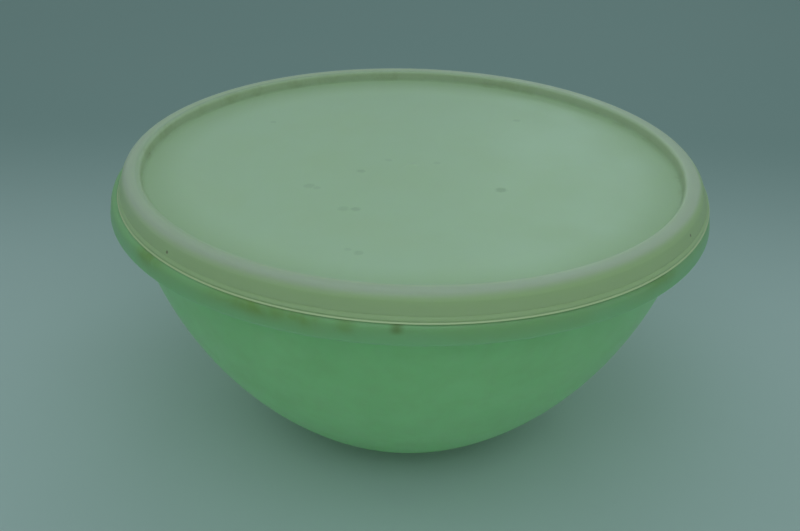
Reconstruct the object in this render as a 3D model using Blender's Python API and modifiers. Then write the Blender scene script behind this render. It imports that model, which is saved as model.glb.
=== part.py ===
"""Large round mixing bowl with a press-on lid, two separate mouldings in soft polyethylene.

Both pieces are turned about the Z axis. The bowl stands on the plane Z = 0 on its foot
ring. Its rim ends in a round bead, and a wide flange below the bead turns down into a
grip lip. The lid is a thin disc inside a raised ring: the ring is a channel, open below,
that presses over the bead. The lid lifts straight up, along the Z axis.
Lengths are in metres, and MM turns millimetres into metres.
"""
import math

import bpy

MM = 0.001

# Bowl: foot and wall
FOOT_RADIUS = 62.0 * MM
FOOT_RING_WIDTH = 6.0 * MM
FOOT_HEIGHT = 3.2 * MM
FOOT_RECESS = 1.5 * MM
FLOOR_THICKNESS = 2.7 * MM
WALL_THICKNESS = 2.2 * MM
WALL_ARC_RADIUS = 200.0 * MM
WALL_ARC_CENTRE = (-50.5 * MM, 166.0 * MM)

# Bowl: neck, bead, flange and lip
NECK_FOOT = 126.0 * MM
NECK_RADIUS = 146.0 * MM
NECK_THICKNESS = 2.4 * MM
BEAD_RADIUS = 144.8 * MM
BEAD_ROUND = 2.1 * MM
BEAD_TOP = 146.35 * MM
FLANGE_TOP = 135.6 * MM
FLANGE_THICKNESS = 2.3 * MM
LIP_RADIUS = 156.0 * MM
LIP_BOTTOM = 126.3 * MM
LIP_ROUND = 1.4 * MM
UNDERCUT_ROUND = 1.8 * MM

# Lid, with heights measured from the roof of its channel
SEAT_GAP = 0.35 * MM
LID_THICKNESS = 1.3 * MM
LID_DEPTH = 11.6 * MM
RECESS_DEPTH = 5.9 * MM
RECESS_RADIUS = 139.9 * MM
CREST_RADIUS = 149.8 * MM
EDGE_RADIUS = 153.4 * MM
FLARE_HEIGHT = 3.5 * MM
FLARE_RADIUS = 152.1 * MM

# Fineness of the turned shapes
TURN_STEPS = 60
WALL_POINTS = 11


def arc(centre, radius, start, end, count):
    """Points on a circle round centre, from one angle to another in degrees."""
    points = []
    for index in range(count):
        angle = math.radians(start + (end - start) * index / (count - 1))
        points.append((centre[0] + radius * math.cos(angle), centre[1] + radius * math.sin(angle)))
    return points


def bend(start, corner, end, count=4):
    """Points that round a corner from start to end, tangent to both its sides."""
    points = []
    for index in range(count):
        t = index / (count - 1)
        weights = ((1 - t) ** 2, 2 * t * (1 - t), t ** 2)
        r = weights[0] * start[0] + weights[1] * corner[0] + weights[2] * end[0]
        z = weights[0] * start[1] + weights[1] * corner[1] + weights[2] * end[1]
        points.append((r, z))
    return points


def wall_angle(radius, height):
    """Angle on the wall's arc, in degrees, at which a circle of that radius is that high."""
    return math.degrees(math.asin((height - WALL_ARC_CENTRE[1]) / radius))


def wall_point(radius, height):
    """Point at that height on a circle of that radius round the wall's arc centre."""
    rise = height - WALL_ARC_CENTRE[1]
    return (WALL_ARC_CENTRE[0] + math.sqrt(radius ** 2 - rise ** 2), height)


def bowl_inside():
    """From the middle of the floor out and up to the bead."""
    floor = FOOT_RECESS + FLOOR_THICKNESS
    arc_radius = WALL_ARC_RADIUS - WALL_THICKNESS
    wall_start = floor + 4.0 * MM
    corner = wall_point(arc_radius, floor)
    inner_neck = NECK_RADIUS - NECK_THICKNESS
    wall_top = wall_point(arc_radius, NECK_FOOT)
    points = [(0.0, floor)]
    points += bend((corner[0] - 14.0 * MM, floor), corner, wall_point(arc_radius, wall_start))
    points += arc(
        WALL_ARC_CENTRE,
        arc_radius,
        wall_angle(arc_radius, wall_start),
        wall_angle(arc_radius, NECK_FOOT),
        WALL_POINTS,
    )[1:]
    points += [(wall_top[0] + 0.2 * MM, NECK_FOOT + 4.0 * MM)]
    points += [(inner_neck, FLANGE_TOP), (inner_neck, FLANGE_TOP + 3.5 * MM)]
    return points


def bowl_bead():
    """Round the bead at the top of the rim, from the inside to the outside."""
    centre = (BEAD_RADIUS, BEAD_TOP - BEAD_ROUND)
    return arc(centre, BEAD_ROUND, 205, -35, 9)


def bowl_flange():
    """Down the neck, out along the flange, round the lip and back in below it."""
    underside = FLANGE_TOP - FLANGE_THICKNESS
    lip_top = (LIP_RADIUS - 0.8 * MM, FLANGE_TOP - 4.0 * MM)
    edge = (LIP_RADIUS - LIP_ROUND, LIP_BOTTOM + LIP_ROUND)
    inner_lip = LIP_RADIUS - 3.0 * MM
    neck_out = wall_point(WALL_ARC_RADIUS, NECK_FOOT)[0]
    points = bend(
        (NECK_RADIUS, FLANGE_TOP + 1.4 * MM),
        (NECK_RADIUS, FLANGE_TOP),
        (NECK_RADIUS + 1.4 * MM, FLANGE_TOP),
        3,
    )
    points += bend(
        (LIP_RADIUS - 5.0 * MM, FLANGE_TOP),
        (LIP_RADIUS - 1.4 * MM, FLANGE_TOP),
        lip_top,
        5,
    )
    points += arc(edge, LIP_ROUND, 0, -180, 6)
    points += bend(
        (inner_lip, underside - UNDERCUT_ROUND),
        (inner_lip, underside),
        (inner_lip - UNDERCUT_ROUND, underside),
        3,
    )
    points += bend(
        (neck_out + UNDERCUT_ROUND, underside),
        (neck_out, underside),
        (neck_out, underside - UNDERCUT_ROUND),
        3,
    )
    return points


def bowl_outside():
    """Down the outside of the wall and round the foot to the middle of the base."""
    foot_inside = FOOT_RADIUS - FOOT_RING_WIDTH
    points = arc(
        WALL_ARC_CENTRE,
        WALL_ARC_RADIUS,
        wall_angle(WALL_ARC_RADIUS, NECK_FOOT),
        wall_angle(WALL_ARC_RADIUS, FOOT_HEIGHT),
        WALL_POINTS,
    )
    points += [(FOOT_RADIUS + 0.5 * MM, FOOT_HEIGHT / 2)]
    points += [(FOOT_RADIUS, 0.6 * MM), (FOOT_RADIUS - 0.6 * MM, 0.0)]
    points += [(foot_inside, 0.0), (foot_inside - FOOT_RECESS, FOOT_RECESS)]
    points += [(0.0, FOOT_RECESS)]
    return points


def lid_top():
    """Across the lid's disc, up over the raised ring and down the skirt to its edge."""
    crest = LID_THICKNESS
    disc = crest - RECESS_DEPTH
    edge = crest - LID_DEPTH
    points = [(0.0, disc)]
    points += bend(
        (RECESS_RADIUS - 1.3 * MM, disc),
        (RECESS_RADIUS, disc),
        (RECESS_RADIUS + 0.1 * MM, disc + 1.3 * MM),
        3,
    )
    points += bend(
        (RECESS_RADIUS + 0.4 * MM, crest - 1.6 * MM),
        (RECESS_RADIUS + 0.5 * MM, crest),
        (RECESS_RADIUS + 2.2 * MM, crest),
    )
    points += bend(
        (CREST_RADIUS - 2.0 * MM, crest),
        (CREST_RADIUS - 0.1 * MM, crest),
        (CREST_RADIUS + 0.4 * MM, crest - 1.9 * MM),
    )
    points += [(FLARE_RADIUS, edge + FLARE_HEIGHT)]
    points += [(EDGE_RADIUS - 0.1 * MM, edge + 0.9 * MM), (EDGE_RADIUS, edge + 0.4 * MM)]
    points += [(EDGE_RADIUS - 0.4 * MM, edge)]
    return points


def lid_underside():
    """From the skirt's edge up into the channel, down its inner wall and in to the axis."""
    roof = 0.0
    disc = LID_THICKNESS - RECESS_DEPTH
    edge = LID_THICKNESS - LID_DEPTH
    inner_wall = RECESS_RADIUS + LID_THICKNESS
    points = [(EDGE_RADIUS - 1.2 * MM, edge)]
    points += [(FLARE_RADIUS - LID_THICKNESS, edge + FLARE_HEIGHT)]
    points += bend(
        (CREST_RADIUS - LID_THICKNESS + 0.3 * MM, roof - 1.4 * MM),
        (CREST_RADIUS - LID_THICKNESS, roof),
        (CREST_RADIUS - LID_THICKNESS - 1.3 * MM, roof),
    )
    points += bend(
        (inner_wall + 1.9 * MM, roof),
        (inner_wall + 0.6 * MM, roof),
        (inner_wall + 0.5 * MM, roof - 1.2 * MM),
        3,
    )
    points += bend(
        (inner_wall + 0.1 * MM, disc),
        (inner_wall, disc - LID_THICKNESS),
        (inner_wall - 1.6 * MM, disc - LID_THICKNESS),
    )
    points += [(0.0, disc - LID_THICKNESS)]
    return points


def plastic(name, colour, roughness):
    """Plain moulded plastic."""
    material = bpy.data.materials.new(name)
    material.use_nodes = True
    shader = material.node_tree.nodes["Principled BSDF"]
    shader.inputs["Base Color"].default_value = colour + (1.0,)
    shader.inputs["Roughness"].default_value = roughness
    shader.inputs["Metallic"].default_value = 0.0
    return material


def turned(name, profile, height, material, collection):
    """Turn an outline, given as radius and height, about the Z axis into a closed solid."""
    points = [(radius, 0.0, z) for radius, z in profile]
    edges = [(index, index + 1) for index in range(len(points) - 1)]
    mesh = bpy.data.meshes.new(name)
    mesh.from_pydata(points, edges, [])
    mesh.materials.append(material)
    piece = bpy.data.objects.new(name, mesh)
    piece.location = (0.0, 0.0, height)
    collection.objects.link(piece)
    screw = piece.modifiers.new("turn", "SCREW")
    screw.axis = "Z"
    screw.angle = math.tau
    screw.steps = TURN_STEPS
    screw.render_steps = TURN_STEPS
    screw.use_merge_vertices = True
    screw.merge_threshold = 0.00001
    screw.use_smooth_shade = True
    return piece


def make_bowl(collection):
    """Bowl: one moulding, from the foot ring up to the bead and the grip lip."""
    profile = bowl_inside() + bowl_bead() + bowl_flange() + bowl_outside()
    material = plastic("mint_polyethylene", (0.41, 0.73, 0.42), 0.42)
    return turned("bowl", profile, 0.0, material, collection)


def make_lid(collection):
    """Lid: one thin moulding, seated so that its channel covers the bead."""
    profile = lid_top() + lid_underside()
    material = plastic("natural_polyethylene", (0.82, 0.81, 0.67), 0.38)
    return turned("lid", profile, BEAD_TOP + SEAT_GAP, material, collection)


for old in list(bpy.data.objects):
    bpy.data.objects.remove(old, do_unlink=True)

parts = bpy.data.collections.new("lidded_bowl")
bpy.context.scene.collection.children.link(parts)
make_bowl(parts)
make_lid(parts)
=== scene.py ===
import math

import bmesh
import bpy
import mathutils
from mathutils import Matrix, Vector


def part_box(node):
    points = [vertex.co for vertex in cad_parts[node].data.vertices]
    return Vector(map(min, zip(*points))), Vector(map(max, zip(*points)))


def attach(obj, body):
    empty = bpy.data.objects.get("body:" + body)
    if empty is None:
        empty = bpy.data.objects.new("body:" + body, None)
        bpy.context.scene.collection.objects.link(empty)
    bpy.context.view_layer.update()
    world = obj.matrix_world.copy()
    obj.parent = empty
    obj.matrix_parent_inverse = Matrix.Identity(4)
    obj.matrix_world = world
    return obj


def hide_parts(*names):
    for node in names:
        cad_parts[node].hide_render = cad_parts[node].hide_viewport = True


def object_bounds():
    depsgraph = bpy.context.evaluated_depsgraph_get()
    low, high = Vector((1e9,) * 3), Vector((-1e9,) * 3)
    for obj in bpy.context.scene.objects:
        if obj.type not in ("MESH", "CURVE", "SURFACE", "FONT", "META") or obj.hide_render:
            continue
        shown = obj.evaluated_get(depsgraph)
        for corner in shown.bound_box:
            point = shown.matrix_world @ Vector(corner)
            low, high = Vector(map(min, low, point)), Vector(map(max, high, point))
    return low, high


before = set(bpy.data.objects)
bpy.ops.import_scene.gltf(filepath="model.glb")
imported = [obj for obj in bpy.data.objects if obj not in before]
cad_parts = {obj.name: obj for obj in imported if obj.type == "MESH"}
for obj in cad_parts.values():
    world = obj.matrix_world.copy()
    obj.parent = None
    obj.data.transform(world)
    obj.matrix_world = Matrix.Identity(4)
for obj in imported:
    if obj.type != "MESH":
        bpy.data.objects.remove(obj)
cad_low, cad_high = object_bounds()
MM = 0.001


# ---------------------------------------------------------------------------
# Bowl. One thick injection moulding in translucent mint polyethylene: a round
# belly on a small foot ring, a bead for the lid to press over, and a flange that
# turns down into a grip lip. It stands loose on the floor.
# ---------------------------------------------------------------------------

bowl_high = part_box("bowl")[1]
LIP_RADIUS = bowl_high.x
BEAD_TOP = bowl_high.z
BEAD_ROUND = 2.1 * MM
BEAD_RADIUS = LIP_RADIUS - 11.2 * MM
NECK_RADIUS = LIP_RADIUS - 10.0 * MM
NECK_THICKNESS = 2.4 * MM
NECK_FOOT = BEAD_TOP - 20.35 * MM
FLANGE_TOP = BEAD_TOP - 10.75 * MM
FLANGE_UNDER = FLANGE_TOP - 2.3 * MM
UNDERCUT_ROUND = 1.8 * MM
LIP_BOTTOM = FLANGE_TOP - 9.3 * MM
LIP_THICKNESS = 3.0 * MM
LIP_ROUND = 1.4 * MM
WALL_THICKNESS = 2.2 * MM
WALL_ARC = 200.0 * MM
WALL_CENTRE = (-50.5 * MM, 166.0 * MM)
FOOT_RADIUS = 62.0 * MM
FOOT_WIDTH = 6.0 * MM
FOOT_HEIGHT = 3.2 * MM
FOOT_RECESS = 1.5 * MM
FLOOR_TOP = 4.2 * MM
GATE_RADIUS = 2.6 * MM
TURNS = 256
SMOOTH_BELOW = math.radians(40)


def arc(centre, radius, start, end, count):
    """Places along a circle, from one angle to another in degrees."""
    places = []
    for index in range(count):
        angle = math.radians(start + (end - start) * index / (count - 1))
        places.append((centre[0] + radius * math.cos(angle), centre[1] + radius * math.sin(angle)))
    return places


def bend(start, corner, end, count=6):
    """Places that round a corner smoothly from start to end."""
    places = []
    for index in range(count):
        t = index / (count - 1)
        a, b, c = (1 - t) ** 2, 2 * t * (1 - t), t ** 2
        places.append((
            a * start[0] + b * corner[0] + c * end[0],
            a * start[1] + b * corner[1] + c * end[1],
        ))
    return places


def wall_place(thickness, height):
    """Place on the belly's arc, at a depth below its outer face."""
    rise = height - WALL_CENTRE[1]
    return (WALL_CENTRE[0] + math.sqrt((WALL_ARC - thickness) ** 2 - rise ** 2), height)


def wall_arc(thickness, start, end, count):
    """Places down or up the belly between two heights."""
    radius = WALL_ARC - thickness
    angles = [math.degrees(math.asin((z - WALL_CENTRE[1]) / radius)) for z in (start, end)]
    return arc(WALL_CENTRE, radius, angles[0], angles[1], count)


def select_points(piece, test):
    """Select, in edit mode, the points whose place passes the test, and nothing else."""
    bpy.ops.mesh.select_all(action="DESELECT")
    shape = bmesh.from_edit_mesh(piece.data)
    for point in shape.verts:
        point.select = test(point.co)
    shape.select_flush_mode()
    bmesh.update_edit_mesh(piece.data)


def draw_outline(piece, places):
    """From the outline's point at the first place, extrude to each of the others in turn."""
    here = places[0]
    same_place = 0.02 * MM
    select_points(piece, lambda p: math.hypot(p.x - here[0], p.z - here[1]) < same_place)
    for place in places[1:]:
        step = (place[0] - here[0], 0.0, place[1] - here[1])
        bpy.ops.mesh.extrude_region_move(TRANSFORM_OT_translate={"value": step})
        here = place


def turn_outline(piece):
    """Spin the outline once round the Z axis, merge its seam and its poles, and face it outward."""
    bpy.ops.mesh.select_all(action="SELECT")
    bpy.ops.mesh.spin(
        steps=TURNS, angle=math.tau, center=(0, 0, 0), axis=(0, 0, 1), use_auto_merge=False
    )
    bpy.ops.mesh.select_all(action="SELECT")
    bpy.ops.mesh.remove_doubles(threshold=0.01 * MM)
    bpy.ops.mesh.select_all(action="SELECT")
    bpy.ops.mesh.normals_make_consistent(inside=False)


def start_outline(name, centre, radius, count):
    """A small upright circle at +X, from which the rest of the section is drawn."""
    bpy.ops.object.select_all(action="DESELECT")
    bpy.ops.mesh.primitive_circle_add(
        vertices=count,
        radius=radius,
        location=(centre[0], 0.0, centre[1]),
        rotation=(math.radians(90), 0.0, 0.0),
    )
    piece = bpy.context.object
    piece.name = name
    bpy.ops.object.transform_apply(location=True, rotation=True, scale=True)
    bpy.ops.object.mode_set(mode="EDIT")
    bpy.ops.mesh.select_mode(type="VERT")
    return piece


# The outline starts at the bead's round top. It goes down the inside to the middle of the
# floor, and down the outside over the flange, the lip and the foot to the middle of the base.
bead_centre = (BEAD_RADIUS, BEAD_TOP - BEAD_ROUND)
bowl = start_outline("mixing_bowl", bead_centre, BEAD_ROUND, 32)
select_points(bowl, lambda p: p.z < bead_centre[1] - 0.6 * BEAD_ROUND)
bpy.ops.mesh.delete(type="VERT")
bead_ends = sorted(
    (p.co.x, p.co.z)
    for p in bmesh.from_edit_mesh(bowl.data).verts
    if len(p.link_edges) == 1
)

inner_neck = NECK_RADIUS - NECK_THICKNESS
floor_corner = wall_place(WALL_THICKNESS, FLOOR_TOP)
wall_start = FLOOR_TOP + 4.0 * MM
inside = [bead_ends[0]]
inside += bend(
    (inner_neck, FLANGE_TOP + 4.0 * MM),
    (inner_neck, FLANGE_TOP - 3.0 * MM),
    (wall_place(WALL_THICKNESS, NECK_FOOT)[0] + 0.1 * MM, NECK_FOOT + 2.0 * MM),
    8,
)
inside += wall_arc(WALL_THICKNESS, NECK_FOOT, wall_start, 40)
inside += bend(
    wall_place(WALL_THICKNESS, wall_start), floor_corner, (floor_corner[0] - 14.0 * MM, FLOOR_TOP), 8
)[1:]
inside += [(radius * MM, FLOOR_TOP) for radius in (40, 30, 20, 10, 5)]
gate_floor = FLOOR_TOP - 0.25 * MM
inside += [(GATE_RADIUS + 0.6 * MM, FLOOR_TOP), (GATE_RADIUS, gate_floor), (0.0, gate_floor)]
draw_outline(bowl, inside)

outer_neck = wall_place(0.0, NECK_FOOT)[0]
lip_inside = LIP_RADIUS - LIP_THICKNESS
outside = [bead_ends[1], (NECK_RADIUS, FLANGE_TOP + 4.5 * MM)]
outside += bend(
    (NECK_RADIUS, FLANGE_TOP + 1.4 * MM),
    (NECK_RADIUS, FLANGE_TOP),
    (NECK_RADIUS + 1.4 * MM, FLANGE_TOP),
)
outside += bend(
    (LIP_RADIUS - 3.6 * MM, FLANGE_TOP),
    (LIP_RADIUS - 1.0 * MM, FLANGE_TOP),
    (LIP_RADIUS - 0.6 * MM, FLANGE_TOP - 4.0 * MM),
    12,
)
outside += arc((LIP_RADIUS - LIP_ROUND, LIP_BOTTOM + LIP_ROUND), LIP_ROUND, 0, -180, 14)
outside += bend(
    (lip_inside, FLANGE_UNDER - UNDERCUT_ROUND),
    (lip_inside, FLANGE_UNDER),
    (lip_inside - UNDERCUT_ROUND, FLANGE_UNDER),
)
outside += bend(
    (outer_neck + UNDERCUT_ROUND, FLANGE_UNDER),
    (outer_neck, FLANGE_UNDER),
    (outer_neck, FLANGE_UNDER - UNDERCUT_ROUND),
)
outside += wall_arc(0.0, NECK_FOOT, FOOT_HEIGHT + 1.0 * MM, 44)
outside += bend(
    wall_place(0.0, FOOT_HEIGHT + 0.5 * MM),
    (FOOT_RADIUS + 0.9 * MM, FOOT_HEIGHT - 0.6 * MM),
    (FOOT_RADIUS + 0.3 * MM, 0.9 * MM),
)
outside += bend(
    (FOOT_RADIUS + 0.1 * MM, 0.6 * MM),
    (FOOT_RADIUS, 0.0),
    (FOOT_RADIUS - 0.8 * MM, 0.0),
    4,
)
foot_inside = FOOT_RADIUS - FOOT_WIDTH
outside += bend(
    (foot_inside + 0.5 * MM, 0.0),
    (foot_inside, 0.0),
    (foot_inside - 0.2 * MM, 0.5 * MM),
    4,
)
outside += [(foot_inside - 1.0 * MM, FOOT_RECESS - 0.2 * MM)]
outside += [(foot_inside - 1.6 * MM, FOOT_RECESS)]
outside += [(radius * MM, FOOT_RECESS) for radius in (44, 34, 24, 14, 7)]
gate_base = FOOT_RECESS - 0.5 * MM
outside += [
    (GATE_RADIUS + 0.4 * MM, FOOT_RECESS),
    (GATE_RADIUS - 0.2 * MM, gate_base),
    (0.0, gate_base),
]
draw_outline(bowl, outside)
turn_outline(bowl)
bpy.ops.object.mode_set(mode="OBJECT")
bpy.ops.object.shade_smooth_by_angle(angle=SMOOTH_BELOW)


def add(tree, kind, inputs=(), **settings):
    """Add a node, set its settings, and set or link its inputs."""
    node = tree.nodes.new(kind)
    for name, value in settings.items():
        setattr(node, name, value)
    for socket, value in dict(inputs).items():
        if isinstance(value, bpy.types.NodeSocket):
            tree.links.new(value, node.inputs[socket])
        else:
            node.inputs[socket].default_value = value
    return node


def maths(tree, operation, *values):
    """One step of arithmetic on numbers or sockets."""
    return add(tree, "ShaderNodeMath", enumerate(values), operation=operation).outputs[0]


def noise(tree, place, scale, detail=3.0, roughness=0.55, distortion=0.0):
    """Soft random pattern, from 0 to 1, with so many lumps to the metre."""
    inputs = {
        "Vector": place,
        "Scale": scale,
        "Detail": detail,
        "Roughness": roughness,
        "Distortion": distortion,
    }
    return add(tree, "ShaderNodeTexNoise", inputs).outputs[0]


def ramp(tree, value, low, high, to_low=0.0, to_high=1.0):
    """Smooth step of a value between two limits."""
    inputs = {0: value, 1: low, 2: high, 3: to_low, 4: to_high}
    return add(tree, "ShaderNodeMapRange", inputs, interpolation_type="SMOOTHSTEP").outputs[0]


def blend_colour(tree, share, first, second):
    """Mix of two colours."""
    node = add(tree, "ShaderNodeMix", {0: share}, data_type="RGBA")
    for socket, value in ((6, first), (7, second)):
        if isinstance(value, bpy.types.NodeSocket):
            tree.links.new(value, node.inputs[socket])
        else:
            node.inputs[socket].default_value = (*value, 1.0)
    return node.outputs[2]


def scratches(tree, place, turn, density, fineness):
    """Thin straight scratches that run one way across the object."""
    turned = add(tree, "ShaderNodeMapping", {
        "Vector": place, "Rotation": turn, "Scale": (fineness, density, density),
    }).outputs[0]
    return ramp(tree, noise(tree, turned, 1.0, 2.0, 0.6), 0.66, 0.74)


def relief(tree, height, depth, strength, below=None):
    """Bump from a height pattern, on top of another bump."""
    inputs = {"Height": height, "Distance": depth, "Strength": strength}
    if below is not None:
        inputs["Normal"] = below
    return add(tree, "ShaderNodeBump", inputs).outputs[0]


def new_material(name):
    """A material with its shader, and the place of each point on the piece."""
    material = bpy.data.materials.new(name)
    material.use_nodes = True
    tree = material.node_tree
    shader = tree.nodes["Principled BSDF"]
    place = add(tree, "ShaderNodeTexCoord").outputs["Object"]
    return material, tree, shader, place


MINT = (0.405, 0.715, 0.365)
MINT_PALE = (0.440, 0.750, 0.400)
MINT_DEEP_SHADE = (0.362, 0.645, 0.345)
MINT_AGED_AND_SHADE = (0.375, 0.560, 0.240)
STAIN_OLIVE = (0.270, 0.370, 0.060)
STAIN_BROWN = (0.190, 0.240, 0.050)

# Where the stains lie round the lip, from the front towards the right, and half their width,
# in degrees
STAINS = (
    (-25.0, 13.0),
    (-16.5, 5.0),
    (-9.5, 3.0),
    (-50.0, 7.0),
    (48.0, 6.0),
    (84.0, 9.0),
    (150.0, 12.0),
    (-120.0, 8.0),
)
DARK_STAIN = (-1.3, 1.6)
MINT_IOR = 1.51
MINT_CLOUD_DEPTH = 4.0 * MM


def stain_patch(tree, turn, centre, half_width):
    """A window on the angle round the bowl, 1 at its centre and 0 past its width."""
    off = maths(tree, "ABSOLUTE", maths(tree, "SUBTRACT", turn, math.radians(centre)))
    return ramp(tree, off, 0.0, math.radians(half_width), 1.0, 0.0)


def mint_polyethylene():
    """Cloudy green plastic, aged and stained along the lip and lightly scuffed, with painted shade
    on the lip.
    """
    material, tree, shader, place = new_material("mint_polyethylene")
    axes = add(tree, "ShaderNodeSeparateXYZ", {0: place})
    x, y, z = axes.outputs
    flat = add(tree, "ShaderNodeVectorMath", {0: place, 1: (1.0, 1.0, 0.0)}, operation="MULTIPLY")
    radius = add(tree, "ShaderNodeVectorMath", {0: flat.outputs[0]}, operation="LENGTH").outputs[1]
    turn = maths(tree, "ARCTAN2", x, maths(tree, "MULTIPLY", y, -1.0))
    cloud = noise(tree, place, 22.0, 3.0, 0.6, 0.4)
    mottle = noise(tree, place, 95.0, 4.0, 0.6)
    colour = blend_colour(tree, ramp(tree, cloud, 0.3, 0.7), MINT, MINT_PALE)
    patchy = maths(tree, "MULTIPLY", ramp(tree, mottle, 0.35, 0.75), 0.18)
    colour = blend_colour(tree, patchy, colour, MINT_AGED_AND_SHADE)

    # The lip is darker where it's thick, partly as painted shade, and more aged on its outer face.
    on_lip = maths(
        tree,
        "MULTIPLY",
        ramp(tree, radius, LIP_RADIUS - 6.0 * MM, LIP_RADIUS - 1.5 * MM),
        ramp(tree, z, LIP_BOTTOM - 0.5 * MM, LIP_BOTTOM + 4.0 * MM),
    )
    thick = ramp(tree, radius, outer_neck, LIP_RADIUS - 4.0 * MM)
    colour = blend_colour(tree, thick, colour, MINT_DEEP_SHADE)
    uneven = ramp(tree, noise(tree, place, 30.0), 0.35, 0.7, 0.05, 0.4)
    colour = blend_colour(tree, maths(tree, "MULTIPLY", on_lip, uneven), colour, MINT_AGED_AND_SHADE)
    # What the lid leaves bare is painted darker near the top of the lip, partly as painted shade and
    # partly as an aged tint, and stained in places.
    outside_lid = ramp(tree, radius, LIP_RADIUS - 5.0 * MM, LIP_RADIUS - 3.0 * MM)
    upper = ramp(tree, z, LIP_BOTTOM + 2.5 * MM, LIP_BOTTOM + 8.0 * MM)
    upper = maths(tree, "MULTIPLY", upper, outside_lid)
    lip_top_shade_and_age = maths(tree, "MULTIPLY", maths(tree, "MULTIPLY", on_lip, upper), 0.35)
    colour = blend_colour(tree, lip_top_shade_and_age, colour, MINT_AGED_AND_SHADE)
    patches = 0.0
    for centre, half_width in STAINS:
        patches = maths(tree, "MAXIMUM", patches, stain_patch(tree, turn, centre, half_width))
    smear = ramp(tree, noise(tree, place, 70.0, 3.0, 0.6, 0.5), 0.30, 0.70, 0.25, 1.0)
    smear = maths(tree, "MULTIPLY", maths(tree, "MULTIPLY", smear, patches), upper)
    colour = blend_colour(tree, maths(tree, "MULTIPLY", smear, 0.65), colour, STAIN_OLIVE)
    high = ramp(tree, z, LIP_BOTTOM + 4.5 * MM, LIP_BOTTOM + 7.5 * MM)
    high = maths(tree, "MULTIPLY", high, outside_lid)
    spot = maths(tree, "MULTIPLY", stain_patch(tree, turn, *DARK_STAIN), high)
    colour = blend_colour(tree, maths(tree, "MULTIPLY", spot, 0.6), colour, STAIN_BROWN)
    tree.links.new(colour, shader.inputs["Base Color"])

    scuff = scratches(tree, place, (0.3, 0.2, 0.5), 9.0, 900.0)
    scuff = maths(tree, "MAXIMUM", scuff, scratches(tree, place, (1.2, -0.4, -0.6), 12.0, 1100.0))
    rough = ramp(tree, noise(tree, place, 40.0, 4.0), 0.3, 0.75, 0.36, 0.48)
    rough = maths(tree, "ADD", rough, maths(tree, "MULTIPLY", scuff, 0.12))
    tree.links.new(rough, shader.inputs["Roughness"])
    ripple = relief(tree, noise(tree, place, 26.0, 2.0), 0.8 * MM, 0.25)
    grain = relief(tree, noise(tree, place, 900.0, 3.0), 0.05 * MM, 0.25, ripple)
    grain = relief(tree, scuff, -0.03 * MM, 0.5, grain)
    tree.links.new(grain, shader.inputs["Normal"])
    shader.inputs["IOR"].default_value = MINT_IOR
    shader.inputs["Subsurface Weight"].default_value = 1.0
    shader.inputs["Subsurface Radius"].default_value = (0.7, 1.0, 0.7)
    shader.inputs["Subsurface Scale"].default_value = MINT_CLOUD_DEPTH
    return material


bowl.data.materials.append(mint_polyethylene())
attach(bowl, "bowl")
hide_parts("bowl")


# ---------------------------------------------------------------------------
# Lid. One thin moulding in natural, slightly yellowed polyethylene: a flat disc
# inside a raised ring, whose hollow underside presses over the bowl's bead, and a
# skirt that flares to a thin edge, which rests on the bowl's flange.
# ---------------------------------------------------------------------------

lid_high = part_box("lid")[1]
EDGE_GAP = 0.06 * MM
CREST_TOP = lid_high.z
EDGE_BOTTOM = FLANGE_TOP + EDGE_GAP
EDGE_RADIUS = lid_high.x
LID_THICKNESS = 1.3 * MM
ROOF = CREST_TOP - LID_THICKNESS
DISC_TOP = CREST_TOP - 5.9 * MM
DISC_UNDER = DISC_TOP - LID_THICKNESS
RECESS_RADIUS = EDGE_RADIUS - 13.5 * MM
CREST_RADIUS = EDGE_RADIUS - 3.6 * MM
FLARE_RADIUS = EDGE_RADIUS - 1.4 * MM
FLARE_TOP = EDGE_BOTTOM + 3.1 * MM
EDGE_ROUND = 0.12 * MM
SEAT_SHIFT = 0.8 * MM
FLARE_SHIFT = 0.6 * MM

# This outline starts at the skirt's fine lower edge. It goes up over the ring to the middle
# of the disc, and then under the skirt and the ring to the middle again.
edge_centre = (EDGE_RADIUS - EDGE_ROUND, EDGE_BOTTOM + EDGE_ROUND)
lid = start_outline("press_on_lid", edge_centre, EDGE_ROUND, 16)
select_points(lid, lambda p: p.x < edge_centre[0] - 0.2 * EDGE_ROUND)
bpy.ops.mesh.delete(type="VERT")
edge_ends = sorted(
    (p.co.z, p.co.x)
    for p in bmesh.from_edit_mesh(lid.data).verts
    if len(p.link_edges) == 1
)
edge_lower, edge_upper = [(x, z) for z, x in edge_ends]

top = [edge_upper]
top += [
    (EDGE_RADIUS - 0.40 * MM, EDGE_BOTTOM + 0.60 * MM),
    (EDGE_RADIUS - 0.58 * MM, EDGE_BOTTOM + 0.72 * MM),
    (EDGE_RADIUS - 0.60 * MM, EDGE_BOTTOM + 0.90 * MM),
    (EDGE_RADIUS - 0.45 * MM, EDGE_BOTTOM + 1.15 * MM),
]
top += bend(
    (FLARE_RADIUS + 0.90 * MM, EDGE_BOTTOM + 1.7 * MM),
    (FLARE_RADIUS + 0.35 * MM, FLARE_TOP - 0.5 * MM),
    (FLARE_RADIUS + 0.20 * MM, FLARE_TOP - 0.35 * MM),
    5,
)
top += [
    (FLARE_RADIUS - 0.12 * MM, FLARE_TOP - 0.15 * MM),
    (FLARE_RADIUS - 0.16 * MM, FLARE_TOP + 0.10 * MM),
]
top += bend(
    (FLARE_RADIUS - 0.25 * MM, FLARE_TOP + 0.6 * MM),
    (CREST_RADIUS + 0.8 * MM, CREST_TOP - 6.0 * MM),
    (CREST_RADIUS + 0.3 * MM, CREST_TOP - 4.0 * MM),
    8,
)
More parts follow.
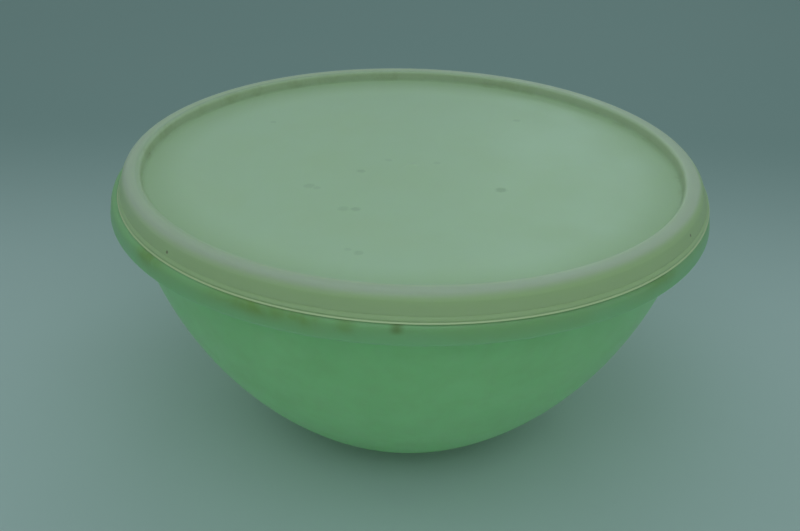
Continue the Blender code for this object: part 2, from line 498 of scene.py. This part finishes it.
top += bend(
    (CREST_RADIUS + 0.2 * MM, CREST_TOP - 3.6 * MM),
    (CREST_RADIUS - 1.5 * MM, CREST_TOP - 0.12 * MM),
    (CREST_RADIUS - 4.0 * MM, CREST_TOP - 0.02 * MM),
    14,
)
top += [
    (CREST_RADIUS - 4.8 * MM, CREST_TOP),
    (RECESS_RADIUS + 3.9 * MM, CREST_TOP - 0.04 * MM),
]
top += bend(
    (RECESS_RADIUS + 2.4 * MM, CREST_TOP - 0.12 * MM),
    (RECESS_RADIUS + 0.55 * MM, CREST_TOP - 0.15 * MM),
    (RECESS_RADIUS + 0.4 * MM, CREST_TOP - 1.8 * MM),
    9,
)
top += bend(
    (RECESS_RADIUS + 0.15 * MM, DISC_TOP + 1.5 * MM),
    (RECESS_RADIUS, DISC_TOP),
    (RECESS_RADIUS - 1.5 * MM, DISC_TOP),
    8,
)
top += [(radius * MM, DISC_TOP) for radius in range(135, 5, -5)]
top += [
    (4.0 * MM, DISC_TOP),
    (2.4 * MM, DISC_TOP),
    (2.0 * MM, DISC_TOP + 0.25 * MM),
    (0.0, DISC_TOP + 0.3 * MM),
]
draw_outline(lid, top)

inner_wall = RECESS_RADIUS + LID_THICKNESS
under = [edge_lower, (EDGE_RADIUS - 1.2 * MM, EDGE_BOTTOM + 0.1 * MM)]
under += bend(
    (EDGE_RADIUS - 1.5 * MM, EDGE_BOTTOM + 0.8 * MM),
    (FLARE_RADIUS - LID_THICKNESS, FLARE_TOP),
    (FLARE_RADIUS - LID_THICKNESS - 0.3 * MM, FLARE_TOP + 1.2 * MM),
)
under += bend(
    (CREST_RADIUS - LID_THICKNESS + 0.1 * MM, ROOF - 2.6 * MM),
    (CREST_RADIUS - LID_THICKNESS - 0.8 * MM, ROOF),
    (CREST_RADIUS - LID_THICKNESS - 2.3 * MM, ROOF),
)
under += bend(
    (inner_wall + 1.9 * MM, ROOF),
    (inner_wall + 0.6 * MM, ROOF),
    (inner_wall + 0.5 * MM, ROOF - 1.2 * MM),
)
under += bend(
    (inner_wall + 0.1 * MM, DISC_TOP),
    (inner_wall, DISC_UNDER),
    (inner_wall - 1.6 * MM, DISC_UNDER),
)
under += [(radius * MM, DISC_UNDER) for radius in range(135, 0, -5)]
under += [(0.0, DISC_UNDER)]
draw_outline(lid, under)
turn_outline(lid)

# The lid isn't seated quite evenly: its skirt and then the whole of it sit a little to the right.
select_points(
    lid,
    lambda p: p.z < EDGE_BOTTOM + 1.5 * MM and math.hypot(p.x, p.y) > FLARE_RADIUS - 1.0 * MM,
)
bpy.ops.transform.translate(
    value=(FLARE_SHIFT, 0.0, 0.0),
    use_proportional_edit=True,
    proportional_edit_falloff="SMOOTH",
    proportional_size=11.0 * MM,
)
bpy.ops.mesh.select_all(action="SELECT")
bpy.ops.transform.translate(value=(SEAT_SHIFT, 0.0, 0.0))
bpy.ops.object.mode_set(mode="OBJECT")
bpy.ops.object.shade_smooth_by_angle(angle=SMOOTH_BELOW)

NATURAL = (0.770, 0.865, 0.615)
NATURAL_WARM = (0.730, 0.780, 0.510)
RING_YELLOWED_AND_LIT = (0.860, 0.970, 0.575)
NATURAL_EDGE_SHADE = (0.600, 0.670, 0.450)
SKIRT_AGED_AND_GREEN_LIT = (0.650, 0.840, 0.385)
EDGE_PAINTED_GLOW = (0.830, 0.870, 0.520)
CORNER_OLIVE = (0.300, 0.300, 0.110)
SPECK_GREY = (0.16, 0.17, 0.14)
SPECK_BROWN = (0.20, 0.14, 0.06)

# Grey specks on the disc: how far right and back of its middle and how large, in
# millimetres, and how dark
DISC_SPECKS = (
    (46, -29, 3.4, 0.30),
    (-51, -31, 3.4, 0.16),
    (-47, -33, 2.4, 0.12),
    (-26, -10, 2.6, 0.18),
    (-12, 6, 2.2, 0.10),
    (14, 4, 2.2, 0.10),
    (-26, -57, 2.8, 0.20),
    (-32, -57, 3.2, 0.14),
    (-22, -103, 2.6, 0.16),
    (-27, -100, 2.0, 0.10),
    (61, 72, 2.4, 0.14),
    (-80, 58, 2.0, 0.12),
)

# Brown specks on the skirt: how far round from the front, in degrees, and how far above its
# edge, in millimetres
SKIRT_SPECKS = ((-45.9, 5.0), (60.4, 6.4), (128.0, 4.4))
NATURAL_IOR = 1.51
NATURAL_CLOUD_DEPTH = 5.0 * MM


def speck(tree, place, at, size):
    """A small soft-edged spot at a place on the lid."""
    away = add(tree, "ShaderNodeVectorMath", {0: place, 1: at}, operation="DISTANCE").outputs[1]
    ragged = maths(tree, "MULTIPLY", noise(tree, place, 500.0, 2.0), size * 0.7)
    return ramp(tree, maths(tree, "ADD", away, ragged), size * 0.8, size * 1.5, 1.0, 0.0)


def natural_polyethylene():
    """Semi-transparent off-white plastic, yellowed on its ring, with specks and fine scratches, and
    with painted light and shade: darker towards the disc's edge, greener on the ring and skirt, pale
    along the thin edge.
    """
    material, tree, shader, place = new_material("natural_polyethylene")
    flat = add(tree, "ShaderNodeVectorMath", {0: place, 1: (1.0, 1.0, 0.0)}, operation="MULTIPLY")
    radius = add(tree, "ShaderNodeVectorMath", {0: flat.outputs[0]}, operation="LENGTH").outputs[1]
    cloud = noise(tree, place, 16.0, 3.0, 0.55, 0.3)
    disc_edge_shade = ramp(tree, radius, RECESS_RADIUS - 26.0 * MM, RECESS_RADIUS - 2.0 * MM)
    ring = ramp(tree, radius, RECESS_RADIUS + 1.0 * MM, RECESS_RADIUS + 3.0 * MM)
    skirt = ramp(tree, radius, CREST_RADIUS - 2.5 * MM, CREST_RADIUS + 0.3 * MM)
    colour = blend_colour(tree, ramp(tree, cloud, 0.3, 0.75, 0.0, 0.4), NATURAL, NATURAL_WARM)
    # Painted shade: the disc is painted darker towards its edge, where less light comes up through
    # the lid.
    colour = blend_colour(tree, maths(tree, "MULTIPLY", disc_edge_shade, 0.8), colour, NATURAL_EDGE_SHADE)
    # The ring is painted lighter and more yellow-green: partly yellowing, partly painted light, the
    # green of the bowl's rim under it showing through.
    colour = blend_colour(tree, ring, colour, RING_YELLOWED_AND_LIT)
    # The skirt is painted more yellow-green: partly ageing, partly painted green light from the
    # bowl's rim behind it.
    colour = blend_colour(tree, skirt, colour, SKIRT_AGED_AND_GREEN_LIT)
    height = add(tree, "ShaderNodeSeparateXYZ", {0: place}).outputs[2]
    # The thin edge is painted pale as painted light, as if light shone along it.
    low_edge = ramp(tree, height, EDGE_BOTTOM + 0.6 * MM, EDGE_BOTTOM + 0.8 * MM, 1.0, 0.0)
    colour = blend_colour(tree, low_edge, colour, EDGE_PAINTED_GLOW)
    # The corner between the disc and the ring is painted darker and more olive, unevenly.
    in_corner = maths(
        tree,
        "MULTIPLY",
        ramp(tree, radius, RECESS_RADIUS - 3.0 * MM, RECESS_RADIUS - 0.6 * MM),
        ramp(tree, radius, RECESS_RADIUS + 0.3 * MM, RECESS_RADIUS + 1.5 * MM, 1.0, 0.0),
    )
    dull = ramp(tree, noise(tree, place, 60.0, 4.0, 0.7), 0.45, 0.75, 0.05, 0.28)
    colour = blend_colour(tree, maths(tree, "MULTIPLY", in_corner, dull), colour, CORNER_OLIVE)

    specks = 0.0
    for x, y, size, depth in DISC_SPECKS:
        mark = speck(tree, place, (x * MM, y * MM, DISC_TOP), size * MM)
        specks = maths(tree, "MAXIMUM", specks, maths(tree, "MULTIPLY", mark, depth))
    colour = blend_colour(tree, specks, colour, SPECK_GREY)
    dirt = speck(tree, place, (-139.8 * MM, 3.0 * MM, DISC_TOP + 1.0 * MM), 1.0 * MM)
    skirt_radius = FLARE_RADIUS - 0.7 * MM
    for angle, rise in SKIRT_SPECKS:
        x = skirt_radius * math.sin(math.radians(angle)) + SEAT_SHIFT
        y = -skirt_radius * math.cos(math.radians(angle))
        mark = speck(tree, place, (x, y, EDGE_BOTTOM + rise * MM), 0.9 * MM)
        dirt = maths(tree, "MAXIMUM", dirt, mark)
    colour = blend_colour(tree, maths(tree, "MULTIPLY", dirt, 0.7), colour, SPECK_BROWN)
    tree.links.new(colour, shader.inputs["Base Color"])

    scuff = scratches(tree, place, (0.0, 0.0, 0.4), 7.0, 900.0)
    for angle, fineness in ((-0.7, 1200.0), (1.35, 1000.0)):
        more = scratches(tree, place, (0.0, 0.0, angle), 8.0, fineness)
        scuff = maths(tree, "MAXIMUM", scuff, more)
    rough = ramp(tree, noise(tree, place, 30.0, 4.0), 0.3, 0.75, 0.34, 0.46)
    rough = maths(tree, "ADD", rough, maths(tree, "MULTIPLY", scuff, 0.12))
    tree.links.new(rough, shader.inputs["Roughness"])
    ripple = relief(tree, noise(tree, place, 18.0, 2.0), 0.8 * MM, 0.25)
    grain = relief(tree, noise(tree, place, 900.0, 3.0), 0.05 * MM, 0.2, ripple)
    grain = relief(tree, scuff, -0.03 * MM, 0.5, grain)
    tree.links.new(grain, shader.inputs["Normal"])
    shader.inputs["IOR"].default_value = NATURAL_IOR
    solid = maths(tree, "MAXIMUM", low_edge, maths(tree, "MULTIPLY", skirt, 0.25))
    tree.links.new(maths(tree, "SUBTRACT", 1.0, solid), shader.inputs["Subsurface Weight"])
    shader.inputs["Subsurface Radius"].default_value = (1.0, 1.0, 0.9)
    shader.inputs["Subsurface Scale"].default_value = NATURAL_CLOUD_DEPTH
    return material


lid.data.materials.append(natural_polyethylene())
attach(lid, "lid")
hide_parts("lid")


# ---------------------------------------------------------------------------
# Studio. A plain pale floor, painted darker towards the back as painted shade, a broad
# soft light in front, a weak one overhead and one behind on the right that the lid
# mirrors, and a cool, even surround.
# ---------------------------------------------------------------------------

FLOOR_COLOUR = (0.71, 0.77, 0.80)
FLOOR_BACK_SHADE = (0.38, 0.475, 0.485)
FLOOR_CLOUD_COLOUR = (0.5, 0.5, 0.5)
FLOOR_FADE_START = 0.05
FLOOR_FADE_END = 0.44
FLOOR_SIZE = 12.0
FLOOR_DROP = 0.2 * MM
LIGHT_COLOUR = (0.72, 1.0, 0.95)
GLOW_COLOUR = (0.30, 1.0, 0.05)
SURROUND_STRENGTH = 0.32

bpy.ops.object.select_all(action="DESELECT")
bpy.ops.mesh.primitive_plane_add(size=FLOOR_SIZE, location=(0.0, 0.0, cad_low.z - FLOOR_DROP))
studio_floor = bpy.context.object
studio_floor.name = "studio_floor"
bpy.ops.object.transform_apply(location=True, rotation=True, scale=True)
floor_paint, floor_tree, floor_shader, floor_place = new_material("pale_floor")
floor_axes = add(floor_tree, "ShaderNodeSeparateXYZ", {0: floor_place})
# Painted shade: the floor is painted darker towards the back, where the light falls off.
floor_back_shade = ramp(floor_tree, floor_axes.outputs[1], FLOOR_FADE_START, FLOOR_FADE_END)
floor_colour = blend_colour(floor_tree, floor_back_shade, FLOOR_COLOUR, FLOOR_BACK_SHADE)
floor_cloud = ramp(floor_tree, noise(floor_tree, floor_place, 6.0, 3.0), 0.3, 0.7, 0.0, 0.05)
floor_colour = blend_colour(floor_tree, floor_cloud, floor_colour, FLOOR_CLOUD_COLOUR)
floor_tree.links.new(floor_colour, floor_shader.inputs["Base Color"])
floor_shader.inputs["Roughness"].default_value = 0.75
studio_floor.data.materials.append(floor_paint)


def soft_light(name, shape, place, aim, width, height, power, colour=LIGHT_COLOUR):
    """A soft light of a given shape that faces a point."""
    light = bpy.data.lights.new(name, "AREA")
    light.shape = shape
    light.size = width
    light.size_y = height
    light.energy = power
    light.color = colour
    lamp = bpy.data.objects.new(name, light)
    bpy.context.scene.collection.objects.link(lamp)
    lamp.location = place
    towards = tuple(a - p for a, p in zip(aim, place))
    lamp.rotation_mode = "QUATERNION"
    lamp.rotation_quaternion = mathutils.Vector(towards).to_track_quat("-Z", "Y")
    lamp.visible_camera = False
    return lamp


soft_light(
    "front_above",
    "RECTANGLE",
    place=(0.02, -0.45, 0.65),
    aim=(0.0, 0.0, 0.1),
    width=0.5,
    height=0.35,
    power=0.45,
)
soft_light(
    "overhead",
    "RECTANGLE",
    place=(0.0, 0.16, 0.75),
    aim=(0.0, 0.0, 0.14),
    width=0.5,
    height=0.2,
    power=0.2,
)
soft_light(
    "back_right",
    "RECTANGLE",
    place=(0.24, 1.07, 0.62),
    aim=(0.08, 0.0, 0.14),
    width=0.22,
    height=0.16,
    power=0.17,
)

# Both plastics let light through. These two stand for the light that comes in through
# the lid, and for what the bowl passes on to the floor under it.
soft_light(
    "through_lid",
    "DISK",
    place=(0.0, -0.018, 0.139),
    aim=(0.0, -0.018, 0.0),
    width=0.24,
    height=0.24,
    power=0.058,
)
floor_light = soft_light(
    "through_bowl",
    "DISK",
    place=(0.0, 0.0, 0.05),
    aim=(0.0, 0.0, 0.0),
    width=0.2,
    height=0.2,
    power=0.028,
    colour=GLOW_COLOUR,
)
lit_floor = bpy.data.collections.new("lit_through_bowl")
lit_floor.objects.link(studio_floor)
floor_light.light_linking.receiver_collection = lit_floor
floor_light.light_linking.blocker_collection = lit_floor

world = bpy.data.worlds.new("surround")
world.use_nodes = True
surround = world.node_tree.nodes["Background"]
surround.inputs["Color"].default_value = (*LIGHT_COLOUR, 1.0)
surround.inputs["Strength"].default_value = SURROUND_STRENGTH
bpy.context.scene.world = world
bpy.context.scene.view_settings.view_transform = "Standard"


# ---------------------------------------------------------------------------
# Camera. It stands in front of the bowl, half a metre away, and looks down on the
# lid with a 50 mm lens. It is rolled very slightly.
# ---------------------------------------------------------------------------

CAMERA_PLACE = (1.3 * MM, -544.5 * MM, 369.7 * MM)
CAMERA_TURN = (math.radians(62.13), math.radians(-1.29), math.radians(1.29))

camera_lens = bpy.data.cameras.new("camera")
camera_lens.lens = 50.0
camera_lens.sensor_width = 36.0
camera_lens.clip_start = 0.01
camera = bpy.data.objects.new("camera", camera_lens)
bpy.context.scene.collection.objects.link(camera)
camera.location = CAMERA_PLACE
camera.rotation_euler = CAMERA_TURN
bpy.context.scene.camera = camera
